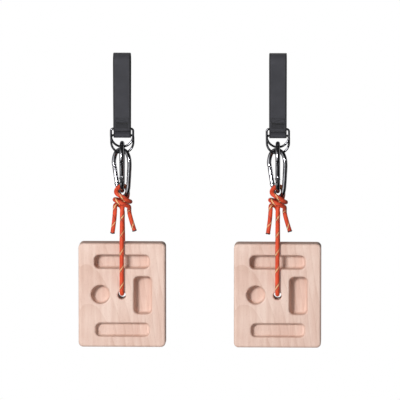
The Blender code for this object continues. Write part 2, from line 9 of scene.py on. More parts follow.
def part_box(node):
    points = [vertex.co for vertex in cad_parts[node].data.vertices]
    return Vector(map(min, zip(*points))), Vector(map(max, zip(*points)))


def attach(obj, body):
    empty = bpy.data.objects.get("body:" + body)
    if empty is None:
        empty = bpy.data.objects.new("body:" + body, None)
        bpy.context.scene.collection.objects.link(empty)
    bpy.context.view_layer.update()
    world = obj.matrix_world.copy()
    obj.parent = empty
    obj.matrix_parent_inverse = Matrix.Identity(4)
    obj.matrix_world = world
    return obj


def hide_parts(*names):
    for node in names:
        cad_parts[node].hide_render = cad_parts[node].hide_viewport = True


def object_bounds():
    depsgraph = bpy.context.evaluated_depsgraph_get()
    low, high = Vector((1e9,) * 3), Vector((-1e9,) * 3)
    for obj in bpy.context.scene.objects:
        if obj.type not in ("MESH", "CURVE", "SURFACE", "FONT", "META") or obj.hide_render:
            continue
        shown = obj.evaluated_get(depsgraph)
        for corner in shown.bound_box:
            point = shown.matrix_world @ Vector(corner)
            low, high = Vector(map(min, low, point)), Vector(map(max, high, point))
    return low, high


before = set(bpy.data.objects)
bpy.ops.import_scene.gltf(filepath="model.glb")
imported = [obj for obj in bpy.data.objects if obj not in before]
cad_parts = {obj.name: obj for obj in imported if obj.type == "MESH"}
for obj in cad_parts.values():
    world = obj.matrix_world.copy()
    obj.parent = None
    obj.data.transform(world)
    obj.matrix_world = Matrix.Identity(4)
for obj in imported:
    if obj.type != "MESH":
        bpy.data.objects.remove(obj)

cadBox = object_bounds()
scene = bpy.context.scene
units = ("left_", "right_")


def unitX(prefix):
    low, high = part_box(prefix + "strap")
    return (low.x + high.x) / 2


# Shared helpers

def addNode(tree, kind, inputs=None, **settings):
    made = tree.nodes.new(kind)
    for key, value in settings.items():
        setattr(made, key, value)
    for key, value in (inputs or {}).items():
        if isinstance(value, bpy.types.NodeSocket):
            tree.links.new(value, made.inputs[key])
        else:
            made.inputs[key].default_value = value
    return made


def maths(tree, operation, first, second=0.0, clamp=False):
    return addNode(tree, "ShaderNodeMath", {0: first, 1: second}, operation=operation,
                   use_clamp=clamp).outputs[0]


def ramp(tree, factor, *stops):
    made = addNode(tree, "ShaderNodeValToRGB", {"Fac": factor})
    elements = made.color_ramp.elements
    while len(elements) < len(stops):
        elements.new(0.5)
    for element, (place, colour) in zip(elements, stops):
        element.position = place
        element.color = (*colour, 1.0)
    return made.outputs["Color"]


def mixColour(tree, factor, first, second):
    parts = {0: factor, 6: first, 7: second}   # the mix node's factor and colour sockets
    for key, value in parts.items():
        if isinstance(value, tuple):
            parts[key] = (*value, 1.0)
    return addNode(tree, "ShaderNodeMix", parts, data_type="RGBA").outputs[2]


def noise(tree, spot, scale, detail, **more):
    return addNode(tree, "ShaderNodeTexNoise", {"Vector": spot, "Scale": scale,
                                                "Detail": detail, **more}).outputs["Fac"]


def spread(tree, value, low, high, toLow, toHigh):
    return addNode(tree, "ShaderNodeMapRange", {"Value": value, "From Min": low, "From Max": high,
                                                "To Min": toLow, "To Max": toHigh}).outputs[0]


def mapped(tree, spot, **values):
    return addNode(tree, "ShaderNodeMapping", {"Vector": spot, **values}).outputs[0]


def pointValue(tree, name):
    return addNode(tree, "ShaderNodeAttribute", attribute_name=name).outputs["Fac"]


def objectSpot(tree):
    return addNode(tree, "ShaderNodeTexCoord").outputs["Object"]


def coat(tree, shader, colour, height, strength, distance):
    # The colour of a finish, and its fine relief
    tree.links.new(colour, shader.inputs["Base Color"])
    bump = addNode(tree, "ShaderNodeBump", {"Height": height, "Strength": strength,
                                            "Distance": distance})
    tree.links.new(bump.outputs[0], shader.inputs["Normal"])


def mixShader(tree, factor, first, second):
    return addNode(tree, "ShaderNodeMixShader", {0: factor, 1: first, 2: second}).outputs[0]


def newMaterial(name, **shaderValues):
    material = bpy.data.materials.new(name)
    material.use_nodes = True
    tree = material.node_tree
    shader = tree.nodes["Principled BSDF"]
    for key, value in shaderValues.items():
        shader.inputs[key.replace("_", " ")].default_value = value
    return material, tree, shader


def linear(red, green, blue):
    # From the 0-255 values that a picture shows
    return tuple(((v / 255 + 0.055) / 1.055) ** 2.4 if v > 10 else v / 255 / 12.92
                 for v in (red, green, blue))


def meshFrom(shape, name):
    bmesh.ops.recalc_face_normals(shape, faces=shape.faces)
    mesh = bpy.data.meshes.new(name)
    shape.to_mesh(mesh)
    shape.free()
    return mesh


def outward(mesh):
    # Normals of a mesh that was made from lists
    shape = bmesh.new()
    shape.from_mesh(mesh)
    bmesh.ops.recalc_face_normals(shape, faces=shape.faces)
    shape.to_mesh(mesh)
    shape.free()


def tubeMesh(name, points, around):
    # A skin over rows of points, as many in each as there are around, closed at both ends
    last = len(points) - around
    quads = [(row + k, row + (k + 1) % around, row + around + (k + 1) % around, row + around + k)
             for row in range(0, last, around) for k in range(around)]
    ends = [tuple(range(around))[::-1], tuple(range(last, last + around))]
    mesh = bpy.data.meshes.new(name)
    mesh.from_pydata(points, [], quads + ends)
    return mesh


def addValues(mesh, **layers):
    for label, values in layers.items():
        layer = mesh.attributes.new(label, "FLOAT", "POINT")
        layer.data.foreach_set("value", np.asarray(values, dtype=np.float32).ravel())


def place(name, data):
    obj = bpy.data.objects.new(name, data)
    scene.collection.objects.link(obj)
    return obj


def dress(obj, material):
    obj.data.materials.clear()
    obj.data.materials.append(material)
    return obj


def plainMesh(obj, cutters=()):
    # The evaluated shape becomes the object's own mesh, and its modifiers and cutters go
    bpy.context.view_layer.update()
    made = bpy.data.meshes.new_from_object(obj.evaluated_get(bpy.context.evaluated_depsgraph_get()))
    obj.modifiers.clear()
    obj.data = made
    for cutter in cutters:
        bpy.data.objects.remove(cutter, do_unlink=True)
    return obj


def moved(obj, matrix):
    obj.data.transform(matrix)
    obj.data.update()
    return obj


def smooth(obj, sharpFrom=35):
    obj.data.shade_smooth()
    obj.data.set_sharp_from_angle(angle=math.radians(sharpFrom))
    return obj


def addBoolean(obj, cutter, operation):
    modifier = obj.modifiers.new(cutter.name, "BOOLEAN")
    modifier.operation = operation
    modifier.solver = "EXACT"
    modifier.object = cutter


def weld(obj):
    # The slivers that a Boolean leaves along its cuts go
    near = 2e-6
    shape = bmesh.new()
    shape.from_mesh(obj.data)
    bmesh.ops.remove_doubles(shape, verts=shape.verts, dist=near)
    bmesh.ops.dissolve_degenerate(shape, dist=near, edges=shape.edges)
    shape.to_mesh(obj.data)
    shape.free()
    return obj


def through(keys, steps):
    # Points of a smooth centripetal curve through the keys
    keys = [Vector(key) for key in keys]
    ends = [keys[0] * 2 - keys[1]] + keys + [keys[-1] * 2 - keys[-2]]
    points = []
    for a, b, c, d in zip(ends, ends[1:], ends[2:], ends[3:]):
        before, here, after = ((end - start).length ** 0.5
                               for start, end in ((a, b), (b, c), (c, d)))
        leave = (c - b) + here * ((b - a) / before - (c - a) / (before + here))
        arrive = (c - b) + here * ((d - c) / after - (d - b) / (here + after))
        for step in range(steps):
            t = step / steps
            points.append(b * (2 * t ** 3 - 3 * t ** 2 + 1) + leave * (t ** 3 - 2 * t ** 2 + t)
                          + c * (3 * t ** 2 - 2 * t ** 3) + arrive * (t ** 3 - t ** 2))
    points.append(keys[-1])
    return points


def evenly(points, spacing):
    # The same line with points an even distance apart
    run = [0.0]
    for before, after in zip(points, points[1:]):
        run.append(run[-1] + (after - before).length)
    count = max(2, round(run[-1] / spacing))
    wanted = np.linspace(0.0, run[-1], count + 1)
    axes = [np.interp(wanted, run, [point[i] for point in points]) for i in range(len(points[0]))]
    return [Vector(values) for values in zip(*axes)]


def frames(points, closed=False):
    # Tangent, side and up at each point, turning no more than the line does
    count = len(points)
    tangents = []
    for i, point in enumerate(points):
        before = points[i - 1] if i or closed else point
        after = points[(i + 1) % count] if i < count - 1 or closed else point
        tangents.append((after - before).normalized())
    side = tangents[0].orthogonal().normalized()
    made = []
    for tangent in tangents:
        side = (side - tangent * side.dot(tangent)).normalized()
        made.append((tangent, side, tangent.cross(side)))
    return made


def sweep(name, points, radius, sides, closed=False):
    # A round bar along the points; radius is one value, or one for each point
    shape = bmesh.new()
    radii = radius if isinstance(radius, list) else [radius] * len(points)
    rows = []
    for point, size, (tangent, side, up) in zip(points, radii, frames(points, closed)):
        rows.append([shape.verts.new(point + (side * math.cos(a) + up * math.sin(a)) * size)
                     for a in (math.tau * k / sides for k in range(sides))])
    joins = list(zip(rows, rows[1:] + rows[:1])) if closed else list(zip(rows, rows[1:]))
    for near, far in joins:
        for k in range(sides):
            shape.faces.new((near[k], near[(k + 1) % sides], far[(k + 1) % sides], far[k]))
    if not closed:
        shape.faces.new(rows[0][::-1])
        shape.faces.new(rows[-1])
    return smooth(place(name, meshFrom(shape, name)), 40)


def turned(name, profile, sides):
    # A profile of (radius, height), top to bottom, turned about Z
    shape = bmesh.new()
    rows = []
    for radius, height in profile:
        if radius:
            rows.append([shape.verts.new((radius * math.cos(a), radius * math.sin(a), height))
                         for a in (math.tau * k / sides for k in range(sides))])
        else:
            rows.append([shape.verts.new((0, 0, height))])
    for near, far in zip(rows, rows[1:]):
        for k in range(sides):
            corners = [near[k % len(near)], far[k % len(far)], far[(k + 1) % len(far)],
                       near[(k + 1) % len(near)]]
            shape.faces.new(list(dict.fromkeys(corners)))
    return smooth(place(name, meshFrom(shape, name)))


def block(name, low, high):
    shape = bmesh.new()
    bmesh.ops.create_cube(shape, size=1.0)
    size = Vector(high) - Vector(low)
    bmesh.ops.scale(shape, vec=size, verts=shape.verts)
    bmesh.ops.translate(shape, vec=Vector(low) + size / 2, verts=shape.verts)
    return place(name, meshFrom(shape, name))


lying = Matrix.Rotation(math.pi / 2, 4, "X")   # lays a pin that stands on Z along Y


def crossPin(name, radius, length, height, sides):
    pin = turned(name, [(0, length / 2), (radius, length / 2), (radius, -length / 2),
                        (0, -length / 2)], sides)
    return moved(pin, Matrix.Translation((0, 0, height)) @ lying)


# Camera: long lens, a little to the right of the pair and a little above it

cameraView = {
    "pictureWidth": 0.689,   # metres across the object's plane
    "target": (0.0, 0.0, -0.2365),
    "azimuth": 2.0,
    "elevation": 6.2,
    "distance": 9.0,
}


def aimed(name, data, view):
    # An object that looks at the camera's target from its own azimuth and elevation
    obj = place(name, data)
    turn, lift = math.radians(view["azimuth"]), math.radians(view["elevation"])
    away = Vector((math.sin(turn) * math.cos(lift), -math.cos(turn) * math.cos(lift),
                   math.sin(lift)))
    obj.location = Vector(cameraView["target"]) + away * view["distance"]
    obj.rotation_mode = "QUATERNION"
    obj.rotation_quaternion = (-away).to_track_quat("-Z", "Y")
    return obj


def makeCamera():
    data = bpy.data.cameras.new("camera")
    data.sensor_width = 36.0
    data.lens = data.sensor_width * cameraView["distance"] / cameraView["pictureWidth"]
    data.clip_end = 100.0
    scene.camera = aimed("camera", data, cameraView)


makeCamera()
print("camera set")


# Hanging cord: braided sheath with a cream and a dark tracer yarn

cordValues = {
    "diameter": 0.0075,
    "carriers": 16,        # yarns each way round the sheath
    "pitch": 0.0295,       # run of one turn of a yarn
    "relief": 0.00022,
    "around": 64,
    "spacing": 0.0006,
    "smoothSteps": 12,     # points of the curve from one key to the next
    "grooveShade": 0.55,   # share of painted shade in the grooves between the yarns
    "grooveShadeRed": 0.45,     # the red of that painted shade, as a share of the deep red
    "creamYarns": (0, 1),
    "darkYarns": (2, 15),
    "crossYarns": (9,),
    "red": linear(232, 80, 36),
    "deepRed": linear(202, 54, 20),
    "cream": linear(246, 214, 150),
    "dark": linear(58, 34, 40),
    "melted": linear(44, 22, 26),
}

# Route of the cord in its unit, from the left tail's end to the right tail's end
backStrand = [
    (0.0000, 0.0105, -0.2720), (0.0000, 0.0188, -0.2910), (0.0000, 0.0241, -0.3080),
    (0.0000, 0.0245, -0.3170), (0.0000, 0.0242, -0.3550), (0.0000, 0.0242, -0.3850),
    (0.0000, 0.0242, -0.3905), (0.0000, 0.0232, -0.3941), (0.0000, 0.0206, -0.3967),
    (0.0000, 0.0170, -0.3977), (0.0000, 0.0110, -0.3977),
]
frontStrand = [(x, -y, z) for x, y, z in reversed(backStrand)]
cordRoute = [
    (-0.0167, -0.0060, -0.2940), (-0.0133, -0.0075, -0.2680), (-0.0122, -0.0080, -0.2530),
    (-0.0120, -0.0045, -0.2462), (-0.0090, 0.0025, -0.2452), (-0.0032, 0.0056, -0.2480),
    (0.0000, 0.0056, -0.2560), *backStrand, *frontStrand, (0.0000, -0.0046, -0.2560),
    (0.0008, -0.0025, -0.2480), (0.0025, 0.0020, -0.2420), (0.0067, 0.0054, -0.2360),
    (0.0090, 0.0055, -0.2290), (0.0089, 0.0032, -0.2212), (0.0065, 0.0005, -0.2143),
    (0.0000, -0.0020, -0.2121), (-0.0062, -0.0038, -0.2146), (-0.0102, -0.0070, -0.2205),
    (-0.0085, -0.0120, -0.2250), (-0.0010, -0.0142, -0.2292), (0.0070, -0.0125, -0.2345),
    (0.0122, -0.0055, -0.2383), (0.0137, 0.0035, -0.2402), (0.0104, 0.0119, -0.2412),
    (0.0015, 0.0145, -0.2405), (-0.0075, 0.0110, -0.2378), (-0.0122, 0.0040, -0.2362),
    (-0.0125, -0.0050, -0.2362), (-0.0080, -0.0118, -0.2382), (-0.0005, -0.0140, -0.2414),
    (0.0066, -0.0122, -0.2445), (0.0115, -0.0060, -0.2476), (0.0119, 0.0010, -0.2518),
    (0.0118, 0.0040, -0.2580), (0.0148, 0.0044, -0.2710), (0.0210, 0.0040, -0.2910),
]


def cordMaterial():
    v = cordValues
    material, tree, shader = newMaterial("braided cord", Roughness=0.66, Sheen_Weight=0.12,
                                         Sheen_Roughness=0.4)
    uv = addNode(tree, "ShaderNodeUVMap", uv_map="sheath").outputs[0]
    patches = noise(tree, uv, scale=60.0, detail=2.0)
    sheath = ramp(tree, patches, (0.3, v["deepRed"]), (0.6, v["red"]))
    # Painted shade: the grooves between the yarns are darkened
    sheath = mixColour(tree, maths(tree, "MULTIPLY", pointValue(tree, "groove"), v["grooveShade"]),
                       sheath, tuple(c * v["grooveShadeRed"] for c in v["deepRed"]))
    for yarn in ("cream", "dark"):
        sheath = mixColour(tree, pointValue(tree, yarn), sheath, v[yarn])
    fibres = noise(tree, uv, scale=900.0, detail=3.0)
    coat(tree, shader, sheath, fibres, strength=0.5, distance=0.0002)
    return material


def meltedMaterial():
    material, tree, shader = newMaterial("melted cord end", Roughness=0.35)
    lumps = noise(tree, objectSpot(tree), scale=700.0, detail=3.0)
    colour = ramp(tree, lumps, (0.35, cordValues["melted"]),
                  (0.75, tuple(c * 3 for c in cordValues["melted"])))
    coat(tree, shader, colour, lumps, strength=0.8, distance=0.0004)
    return material


def braid(turns, run):
    # Height of the sheath and the yarn that shows, at a place round and along the cord
    v = cordValues
    winding = run / v["pitch"]
    first = (turns + winding) * v["carriers"]
    second = (turns - winding) * v["carriers"]
    firstOnTop = (np.floor(first) + np.floor(second)) % 2 == 0
    secondOnTop = ~firstOnTop
    firstArch = np.sin(np.pi * (first % 1.0))
    secondArch = np.sin(np.pi * (second % 1.0))
    height = np.where(firstOnTop, firstArch, secondArch) ** 0.6
    firstYarn = np.floor(first) % v["carriers"]
    secondYarn = np.floor(second) % v["carriers"]
    cream = secondOnTop & np.isin(secondYarn, v["creamYarns"])
    dark = (secondOnTop & np.isin(secondYarn, v["darkYarns"])) | (
        firstOnTop & np.isin(firstYarn, v["crossYarns"]))
    return height, cream, dark


def makeCord(prefix, material):
    v = cordValues
    shift = Vector((unitX(prefix), 0, 0))
    line = [point + shift for point in through(cordRoute, v["smoothSteps"])]
    length = sum((b - a).length for a, b in zip(line, line[1:]))
    points = evenly(line, v["spacing"])
    around = v["around"]
    centres = np.array([tuple(point) for point in points])
    made = frames(points)
    sides = np.array([tuple(side) for tangent, side, up in made])
    ups = np.array([tuple(up) for tangent, side, up in made])
    run = np.linspace(0.0, length, len(points))[:, None]
    turns = (np.arange(around) / around)[None, :]
    height, cream, dark = braid(turns, run)
    radius = v["diameter"] / 2 - v["relief"] * (1 - height)
    angle = turns * math.tau
    spots = (centres[:, None, :] + radius[..., None] * (
        np.cos(angle)[..., None] * sides[:, None, :] + np.sin(angle)[..., None] * ups[:, None, :]))
    name = prefix + "braided_cord"
    mesh = tubeMesh(name, spots.reshape(-1, 3).tolist(), around)
    addValues(mesh, cream=cream, dark=dark, groove=1 - height)
    uv = mesh.uv_layers.new(name="sheath")
    step = length / (len(points) - 1)
    wide = math.pi * v["diameter"] / around
    for polygon in mesh.polygons:
        for corner, loop in enumerate(polygon.loop_indices):
            row, k = divmod(mesh.loops[loop].vertex_index, around)
            if polygon.loop_total == 4 and k == 0 and corner in (1, 2):
                k = around
            uv.data[loop].uv = (k * wide, row * step)
    outward(mesh)
    return dress(smooth(place(name, mesh), 60), material), line, length


def makeMeltedEnd(name, tip, direction, material):
    # A flared lump where the cord was cut and sealed by heat
    radius = cordValues["diameter"] / 2
    shares = ((0, 0.0006), (0.45, 0.0007), (0.85, 0.0005), (1.05, 0.0001), (1.09, -0.0005),
              (1.06, -0.0011), (1.01, -0.0015), (0.97, -0.0017), (0, -0.0017))
    lump = turned(name, [(share * radius, height) for share, height in shares], sides=40)
    for vertex in lump.data.vertices:
        wave = math.sin(3 * math.atan2(vertex.co.y, vertex.co.x) + tip.x * 900)
        vertex.co.z += 0.0003 * wave * math.hypot(vertex.co.x, vertex.co.y) / radius
    turn = direction.to_track_quat("Z", "Y").to_matrix().to_4x4()
    return dress(moved(lump, Matrix.Translation(tip) @ turn), material)


def makeCords():
    sheath = cordMaterial()
    melted = meltedMaterial()
    for prefix in units:
        cord, line, length = makeCord(prefix, sheath)
        tips = ((line[0], line[0] - line[1]), (line[-1], line[-1] - line[-2]))
        ends = [makeMeltedEnd(f"{prefix}cord_end_{side}", tip, direction, melted)
                for side, (tip, direction) in zip(("left", "right"), tips)]
        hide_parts(prefix + "hang_cord")
        for piece in [cord] + ends:
            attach(piece, prefix + "front_carabiner")


makeCords()
print("cords braided")


# Webbing straps

strapValues = {
    "bore": 0.0153,          # radius inside the loop, on the bar
    "thickness": 0.0024,
    "tail": 0.013,
    "foldTurn": math.radians(220),
    "ringWire": 0.0038,
    "gap": 0.0003,
    "feet": ((-0.00375, -0.1131), (0.00375, -0.1251)),   # ring centres, y and z
    "step": 0.0008,
    "columns": 34,           # points across one face
    "edgeRound": 0.0009,
    "weaveHeight": 0.00011,
    "herringbone": 8,        # columns before the twill turns back
    "twill": (4, 2),         # yarns in its repeat, and how many of them lie on top
    "edgeTurns": (66, 40, 14, -14, -40, -66),   # degrees, the points round a selvedge
    "halfWidth": 0.015,
    # Painted shade: a dark strip of this width along each edge of the webbing
    "edgeShadeWidth": 0.0024,
    "edgeBlur": 0.0004,
    "face": linear(49, 49, 55),
    "faceLight": linear(74, 74, 81),
    # colour of the painted shade along the edges
    "edge": linear(20, 20, 23),
    "pressed": (-0.1126, -0.1014),   # heights between which painted shade darkens the outer face just above the ring
    "pressedShare": 0.36,    # how far from the middle that goes, as a share of the width
}


def strapLeg(foot, side):
    # Centre line in (y, z) from the tail's end, round the ring and up towards the bar
    v = strapValues
    wrap = v["bore"] + v["thickness"] / 2
    fold = v["ringWire"] / 2 + v["gap"] + v["thickness"] / 2
    reach = -Vector(foot)
    along = reach.normalized()
    across = Vector((along.y, -along.x))
    across = across if across.x * side > 0 else -across
    slope = -(wrap - fold) / reach.length
    normal = along * slope + across * math.sqrt(1 - slope ** 2)
    up = Vector((-normal.y, normal.x))
    up = up if up.y > 0 else -up
    start = math.atan2(normal.y, normal.x)
    steps = 30
    arc = []
    for step in range(steps + 1):
        angle = start - side * v["foldTurn"] * step / steps
        arc.append(Vector(foot) + fold * Vector((math.cos(angle), math.sin(angle))))
    tailLine = Vector(foot) + normal * (fold - v["thickness"] - v["gap"])
    heading = (arc[-1] - arc[-2]).normalized()
    offset = arc[-1] - tailLine
    cross = heading.x * up.y - heading.y * up.x
    lift = (offset.x * heading.y - offset.y * heading.x) / -cross
    tail = [tailLine + up * (lift + v["tail"]), tailLine + up * lift]
    return tail + arc[::-1], normal * wrap


def strapLine():
    front, frontTop = strapLeg(strapValues["feet"][0], -1)
    rear, rearTop = strapLeg(strapValues["feet"][1], 1)
    begin = math.atan2(frontTop.y, frontTop.x) % math.tau
    finish = math.atan2(rearTop.y, rearTop.x)
    steps = 60
    arc = [frontTop.length * Vector((math.cos(a), math.sin(a)))
           for a in (begin + (finish - begin) * step / steps for step in range(steps + 1))]
    return evenly(front + arc + rear[::-1], strapValues["step"])


def strapSection(width):
    # (across, out, weave share) round the section: two faces joined by round selvedges
    v = strapValues
    half, thick, roundness = width / 2, v["thickness"] / 2, v["edgeRound"]
    flat = half - roundness
    across = [flat * (2 * k / (v["columns"] - 1) - 1) for k in range(v["columns"])]
    right = [(flat + roundness * math.cos(a), (thick - v["weaveHeight"]) * math.sin(a), 0.0)
             for a in map(math.radians, v["edgeTurns"])]
    face = [(x, thick, 1.0) for x in across]
    back = [(x, -thick, 1.0) for x in reversed(across)]
    left = [(-x, -out, 0.0) for x, out, share in right]
    return face + right + back + left


def webbingMaterial():
    v = strapValues
    material, tree, shader = newMaterial("black webbing", Roughness=0.78, Sheen_Weight=0.2,
                                         Sheen_Roughness=0.45)
    uv = addNode(tree, "ShaderNodeUVMap", uv_map="weave").outputs[0]
    across = maths(tree, "ABSOLUTE", addNode(tree, "ShaderNodeSeparateXYZ", {0: uv}).outputs["X"])
    mottled = noise(tree, uv, scale=420.0, detail=4.0)
    broad = noise(tree, uv, scale=45.0, detail=2.0)
    yarns = addNode(tree, "ShaderNodeTexWave", {"Vector": uv, "Scale": 260.0, "Distortion": 1.5,
                                                "Detail": 2.0, "Detail Scale": 2.0},
                    wave_type="BANDS", bands_direction="DIAGONAL").outputs["Fac"]
    light = maths(tree, "MULTIPLY", maths(tree, "ADD", pointValue(tree, "raised"), mottled), 0.55)
    face = mixColour(tree, maths(tree, "MULTIPLY", light, broad, clamp=True),
                     tuple(c * 0.7 for c in v["face"]), v["faceLight"])
    # Painted shade along both edges of the webbing, where they turn from the light
    past = maths(tree, "SUBTRACT", across, v["halfWidth"] - v["edgeShadeWidth"])
    atEdge = maths(tree, "MULTIPLY", past, 1 / v["edgeBlur"], clamp=True)
    # Painted shade also darkens the webbing just above each ring, below the stitching
    dark = maths(tree, "MAXIMUM", maths(tree, "MULTIPLY", atEdge, 0.9),
                 maths(tree, "MULTIPLY", pointValue(tree, "pressed"), 0.6))
    colour = mixColour(tree, dark, face, v["edge"])
    coat(tree, shader, colour, yarns, strength=0.6, distance=0.0002)
    return material


def makeStrap(prefix, material):
    v = strapValues
    low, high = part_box(prefix + "strap")
    middle = (low.x + high.x) / 2
    section = strapSection(high.x - low.x)
    line = strapLine()
    middleBand = (high.x - low.x) * v["pressedShare"]
    repeat, onTop = v["twill"]
    lastOfBack = v["columns"] * 2 + len(v["edgeTurns"]) - 1
    points, raised, pressed, places = [], [], [], []
    pressedLow, pressedHigh = v["pressed"]
    for row, spot in enumerate(line):
        before, after = line[max(row - 1, 0)], line[min(row + 1, len(line) - 1)]
        tangent = (after - before).normalized()
        normal = Vector((-tangent.y, tangent.x))
        for k, (across, out, share) in enumerate(section):
            column = min(k, lastOfBack - k)
            mirror = -1 if (column // v["herringbone"]) % 2 else 1
            up = ((row + mirror * column) % repeat < onTop) * share
            reach = out - math.copysign(v["weaveHeight"], out) * (share - up)
            points.append((middle + across, *(spot + normal * reach)))
            raised.append(up)
            # painted shade on the outer face just above the ring
            pressed.append(float(pressedLow < spot.y < pressedHigh and reach * normal.x * spot.x > 0
                                 and abs(across) < middleBand))
            places.append((across, row * v["step"]))
    mesh = tubeMesh(prefix + "webbing", points, len(section))
    addValues(mesh, raised=raised, pressed=pressed)
    uv = mesh.uv_layers.new(name="weave")
    uv.data.foreach_set("uv", [value for loop in mesh.loops for value in places[loop.vertex_index]])
    outward(mesh)
    strap = dress(smooth(place(prefix + "webbing", mesh), 60), material)
    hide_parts(prefix + "strap")
    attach(strap, prefix + "strap")
    return len(line) * v["step"]


webbing = webbingMaterial()
for prefix in units:
    strapLength = makeStrap(prefix, webbing)
print("straps woven, cut length", round(strapLength, 4), "m each")


# Box stitching that closes each end of the webbing round its ring

stitchValues = {
    "length": 0.0026,        # from one needle hole to the next
    "thick": 0.0006,
    "shown": 0.84,           # share of that length that lies on top
    "cadThread": 0.0008,
    "foot": 0.24,            # share of the box's height that the zigzags fill
    "teeth": 11,
    "rows": 2,
    "thread": linear(14, 14, 16),
    "threadLight": linear(46, 46, 50),
}


def threadMaterial():
    v = stitchValues
    material, tree, shader = newMaterial("bonded thread", Roughness=0.5, Sheen_Weight=0.2)
    ply = addNode(tree, "ShaderNodeTexWave", {"Vector": objectSpot(tree), "Scale": 900.0,
                                              "Distortion": 1.0},
                  wave_type="BANDS", bands_direction="DIAGONAL").outputs["Fac"]
    colour = ramp(tree, ply, (0.2, v["thread"]), (0.9, v["threadLight"]))
    coat(tree, shader, colour, ply, strength=0.5, distance=0.0001)
    return material


def stitchTree(material):
    # Geometry Nodes: a stitch along every edge of the route
    tree = bpy.data.node_groups.new("stitches", "GeometryNodeTree")
    face = tree.interface
    face.new_socket("Geometry", in_out="INPUT", socket_type="NodeSocketGeometry")
    for name in ("Shown", "Thick"):
        face.new_socket(name, in_out="INPUT", socket_type="NodeSocketFloat")
    face.new_socket("Geometry", in_out="OUTPUT", socket_type="NodeSocketGeometry")
    start = tree.nodes.new("NodeGroupInput")
    ends = addNode(tree, "GeometryNodeInputMeshEdgeVertices")
    along = addNode(tree, "ShaderNodeVectorMath", {0: ends.outputs["Position 2"],
                                                   1: ends.outputs["Position 1"]},
                    operation="SUBTRACT")
    kept = tree.nodes.new("GeometryNodeCaptureAttribute")
    kept.domain = "EDGE"
    kept.capture_items.new("VECTOR", "Along")
    tree.links.new(start.outputs["Geometry"], kept.inputs["Geometry"])
    tree.links.new(along.outputs[0], kept.inputs["Along"])
    middles = addNode(tree, "GeometryNodeMeshToPoints", {"Mesh": kept.outputs["Geometry"]},
                      mode="EDGES")
    length = addNode(tree, "ShaderNodeVectorMath", {0: kept.outputs["Along"]}, operation="LENGTH")
    shown = maths(tree, "MULTIPLY", length.outputs["Value"], start.outputs["Shown"])
    size = addNode(tree, "ShaderNodeCombineXYZ", {"X": start.outputs["Thick"],
                                                  "Y": start.outputs["Thick"],
                                                  "Z": shown})
    turn = addNode(tree, "FunctionNodeAlignRotationToVector", {"Vector": kept.outputs["Along"]},
                   axis="Z")
    stitch = addNode(tree, "GeometryNodeMeshUVSphere", {"Segments": 8, "Rings": 8, "Radius": 0.5})
    copies = addNode(tree, "GeometryNodeInstanceOnPoints",
                     {"Points": middles.outputs[0], "Instance": stitch.outputs["Mesh"],
                      "Rotation": turn.outputs[0], "Scale": size.outputs[0]})
    real = addNode(tree, "GeometryNodeRealizeInstances", {"Geometry": copies.outputs[0]})
    shaded = addNode(tree, "GeometryNodeSetShadeSmooth", {"Geometry": real.outputs[0]})
    dressed = addNode(tree, "GeometryNodeSetMaterial", {"Geometry": shaded.outputs[0],
                                                        "Material": material})
    addNode(tree, "NodeGroupOutput", {"Geometry": dressed.outputs[0]})
    return tree


def stitchRoutes(width, height):
    # Lines of (across, up) in the box's own plane: a rectangle, its cross and zigzags below it
    v = stitchValues
    half = width / 2
    foot = v["foot"] * height
    corners = [(-half, foot), (half, foot), (half, height), (-half, height)]
    legs = list(zip(corners, corners[1:] + corners[:1])) + [(corners[0], corners[2]),
                                                            (corners[1], corners[3])]
    routes = []
    for begin, finish in legs:
        count = round(math.dist(begin, finish) / v["length"])
        routes.append([tuple(a + (b - a) * step / count for a, b in zip(begin, finish))
                       for step in range(count + 1)])
    tooth = width / v["teeth"]
    for row in range(v["rows"]):
        shift = tooth / v["rows"] * row
        routes.append([(min(half, shift - half + tooth / 2 * k), 0.85 * foot * (k % 2))
                       for k in range(2 * v["teeth"] + 1 - row)])
    return routes


def makeStitching(name, prefix, node, tree, side):
    # The CAD thread's box gives the leaning plane that the stitches lie in
    thread = stitchValues["cadThread"] / 2
    low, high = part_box(prefix + node)
    bottom, top = (high.y - thread, low.y + thread) if side < 0 else (low.y + thread,
                                                                      high.y - thread)
    height = high.z - low.z - 2 * thread
    middle = (low.x + high.x) / 2
    shape = bmesh.new()
    for route in stitchRoutes(high.x - low.x - 2 * thread, height):
        spots = [shape.verts.new((middle + across, bottom + (top - bottom) * up / height,
                                  low.z + thread + up)) for across, up in route]
        for first, second in zip(spots, spots[1:]):
            shape.edges.new((first, second))
    stitches = place(name, meshFrom(shape, name))
    modifier = stitches.modifiers.new("stitches", "NODES")
    modifier.node_group = tree
    sockets = {item.name: item.identifier for item in tree.interface.items_tree
               if item.in_out == "INPUT"}
    modifier[sockets["Shown"]] = stitchValues["shown"]
    modifier[sockets["Thick"]] = stitchValues["thick"]
    plainMesh(stitches)
    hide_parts(prefix + node)
    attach(stitches, prefix + "strap")


stitches = stitchTree(threadMaterial())
for prefix in units:
    makeStitching(prefix + "front_box_stitch", prefix, "front_stitching", stitches, -1)
    makeStitching(prefix + "rear_box_stitch", prefix, "rear_stitching", stitches, 1)
print("stitching sewn")


# Polished metal

metalValues = {
    "ring": linear(104, 104, 108),
    "ringStain": linear(82, 82, 86),
    "steel": linear(190, 190, 194),
    "steelStain": linear(158, 158, 163),
    "spring": linear(150, 150, 156),
    "wear": 0.08,            # how much rougher the hazy places are
}


